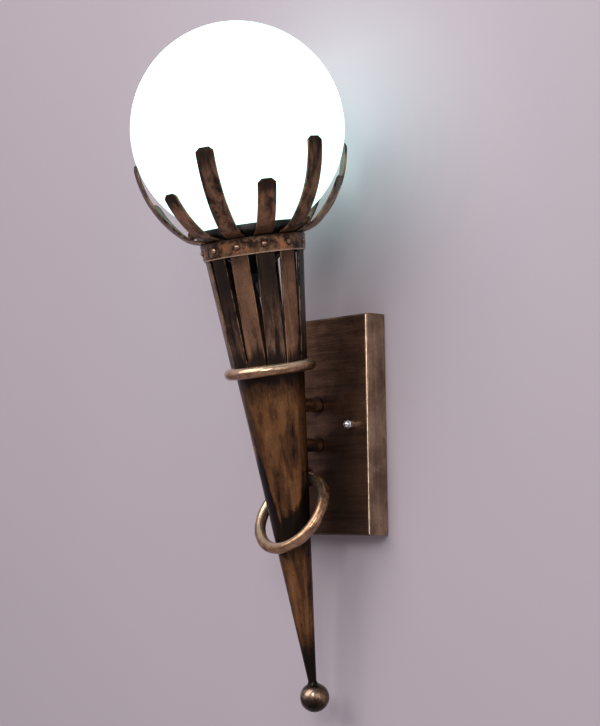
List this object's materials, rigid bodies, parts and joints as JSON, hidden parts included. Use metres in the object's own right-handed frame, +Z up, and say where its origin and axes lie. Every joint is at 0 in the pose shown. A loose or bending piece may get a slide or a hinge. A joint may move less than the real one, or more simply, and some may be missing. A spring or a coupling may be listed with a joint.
{
  "type": "torch sconce",
  "caption": "Torch-shaped wall light: an opal globe in a riveted basket of bent metal strips on a leaning cone, joined to a rectangular back plate by short arms.",
  "frame": {"origin": "middle of the back plate, on the wall's surface", "axes": "+X along the wall to the right as seen from the room, +Y into the wall, +Z up"},
  "size_m": [0.1518, 0.1665, 0.4839],
  "materials": {
    "plate_bronze": "dark bronze brushed across, edges rubbed bright",
    "cone_bronze": "antique bronze over black, rubbed lengthwise",
    "strip_bronze": "antique bronze over black, streaked lengthwise",
    "band_copper": "mottled antique copper",
    "rubbed_copper": "antique copper rubbed to a shine",
    "black_paint": "satin black",
    "chrome": "polished",
    "plated_steel": "zinc plated",
    "brass": "plain",
    "holder_black": "moulded, glossy",
    "porcelain": "glazed white",
    "lead_sheath": "smooth sheath",
    "bulb_opal": "opal, lit",
    "opal_glass": "opal, glossy, lit from within"
  },
  "bodies": {
    "sconce_frame": {"back_plate": "plate_bronze", "wall_bracket": "plated_steel", "bracket_studs": "plated_steel", "stud_nuts": "plated_steel", "cap_nuts": "chrome", "earth_screw": "brass", "upper_arm": "plate_bronze", "lower_arm": "plate_bronze", "arm_nuts": "plated_steel", "torch_cone": "cone_bronze", "tip_ball": "rubbed_copper", "collar_ring": "rubbed_copper", "ring_staple": "cone_bronze", "strap_1": "strip_bronze", "strap_2": "strip_bronze", "strap_3": "strip_bronze", "strap_4": "strip_bronze", "strap_5": "strip_bronze", "strap_6": "strip_bronze", "strap_7": "strip_bronze", "strap_8": "strip_bronze", "strap_9": "strip_bronze", "strap_10": "strip_bronze", "strap_11": "strip_bronze", "strap_12": "strip_bronze", "hoop_band": "band_copper", "band_rivets": "rubbed_copper", "gallery_cup": "black_paint", "holder_body": "holder_black", "shade_ring": "holder_black", "holder_insert": "porcelain", "holder_shell": "brass", "centre_contact": "brass", "lamp_lead": "lead_sheath", "terminal_block": "porcelain", "terminal_screws": "brass"},
    "globe": {"globe": "opal_glass"},
    "bulb": {"bulb_cap": "plated_steel", "bulb_glass": "bulb_opal"},
    "ring": {"hanging_ring": "rubbed_copper"},
    "gallery_screw_a": {"gallery_screw_1": "brass"},
    "gallery_screw_b": {"gallery_screw_2": "brass"},
    "gallery_screw_c": {"gallery_screw_3": "brass"}
  },
  "joints": [
    {"name": "globe_lift", "type": "slide", "parent": "sconce_frame", "child": "globe", "axis": [0, -0.165, 0.9863], "range_m": [0, 0.15]},
    {"name": "bulb_out", "type": "slide", "parent": "sconce_frame", "child": "bulb", "axis": [0, -0.165, 0.9863], "range_m": [0, 0.025]},
    {"name": "ring_swing", "type": "hinge", "parent": "sconce_frame", "child": "ring", "pos_m": [0, -0.02943, -0.0361], "axis": [-1, 0, 0], "range_deg": [0, 80]},
    {"name": "gallery_screw_a_out", "type": "slide", "parent": "sconce_frame", "child": "gallery_screw_a", "axis": [-0.2588, -0.9527, -0.1594], "range_m": [0, 0.004]},
    {"name": "gallery_screw_b_out", "type": "slide", "parent": "sconce_frame", "child": "gallery_screw_b", "axis": [0.9659, 0.2553, 0.0427], "range_m": [0, 0.004]},
    {"name": "gallery_screw_c_out", "type": "slide", "parent": "sconce_frame", "child": "gallery_screw_c", "axis": [-0.7071, 0.6974, 0.1167], "range_m": [0, 0.004]}
  ]
}
